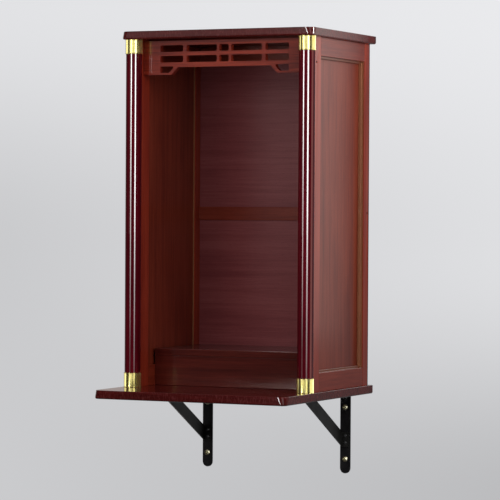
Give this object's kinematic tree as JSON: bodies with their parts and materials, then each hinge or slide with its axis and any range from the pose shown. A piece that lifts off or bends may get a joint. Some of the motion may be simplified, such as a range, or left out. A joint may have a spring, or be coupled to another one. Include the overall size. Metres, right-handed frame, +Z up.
{
  "type": "household altar cabinet",
  "caption": "Wall-hung lacquered altar cabinet: open-fronted box between rounded boards, with front columns, brass ferrules, fretted valance, inner step and steel wall brackets.",
  "frame": {"origin": "middle of the base board's rear edge, on the wall plane and at half the board's thickness", "axes": "+Z up, +Y into the wall, the open front faces -Y, +X to the right seen from the front"},
  "size_m": [0.369, 0.377, 0.785],
  "materials": {
    "board_lacquer": "dark red-brown gloss lacquer over wood",
    "side_lacquer": "red-brown semi-gloss lacquer over wood with fine vertical grain",
    "inner_lacquer": "dark red-brown semi-gloss lacquer over wood",
    "valance_lacquer": "bright red-brown gloss lacquer over fretted wood",
    "column_lacquer": "deep wine-red mirror-gloss lacquer",
    "brass": "polished",
    "black_steel": "satin black paint on steel",
    "brace_steel": "satin dark grey-black paint on steel",
    "screw_metal": "yellow zinc plating, worn"
  },
  "bodies": {
    "root": {"base_board": "board_lacquer", "top_board": "board_lacquer", "column_left": "column_lacquer", "ferrule_left_bottom": "brass", "ferrule_left_top": "brass", "column_right": "column_lacquer", "ferrule_right_bottom": "brass", "ferrule_right_top": "brass", "side_left_front_stile": "side_lacquer", "side_left_rear_stile": "side_lacquer", "side_left_top_rail": "side_lacquer", "side_left_bottom_rail": "side_lacquer", "side_left_panel": "side_lacquer", "side_right_front_stile": "side_lacquer", "side_right_rear_stile": "side_lacquer", "side_right_top_rail": "side_lacquer", "side_right_bottom_rail": "side_lacquer", "side_right_panel": "side_lacquer", "back_upper_panel": "inner_lacquer", "back_lower_panel": "inner_lacquer", "back_top_rail": "inner_lacquer", "back_middle_rail": "inner_lacquer", "back_bottom_rail": "inner_lacquer", "valance": "valance_lacquer", "step_board": "inner_lacquer", "step_riser": "inner_lacquer", "bracket_left_angle": "black_steel", "bracket_left_brace": "brace_steel", "bracket_left_wall_rivet_1": "black_steel", "bracket_left_wall_rivet_2": "black_steel", "bracket_left_shelf_rivet_1": "black_steel", "bracket_left_shelf_rivet_2": "black_steel", "bracket_left_wall_screw_1": "screw_metal", "bracket_left_wall_screw_2": "screw_metal", "bracket_left_board_screw_1": "screw_metal", "bracket_left_board_screw_2": "screw_metal", "bracket_right_angle": "black_steel", "bracket_right_brace": "brace_steel", "bracket_right_wall_rivet_1": "black_steel", "bracket_right_wall_rivet_2": "black_steel", "bracket_right_shelf_rivet_1": "black_steel", "bracket_right_shelf_rivet_2": "black_steel", "bracket_right_wall_screw_1": "screw_metal", "bracket_right_wall_screw_2": "screw_metal", "bracket_right_board_screw_1": "screw_metal", "bracket_right_board_screw_2": "screw_metal"}
  },
  "joints": []
}
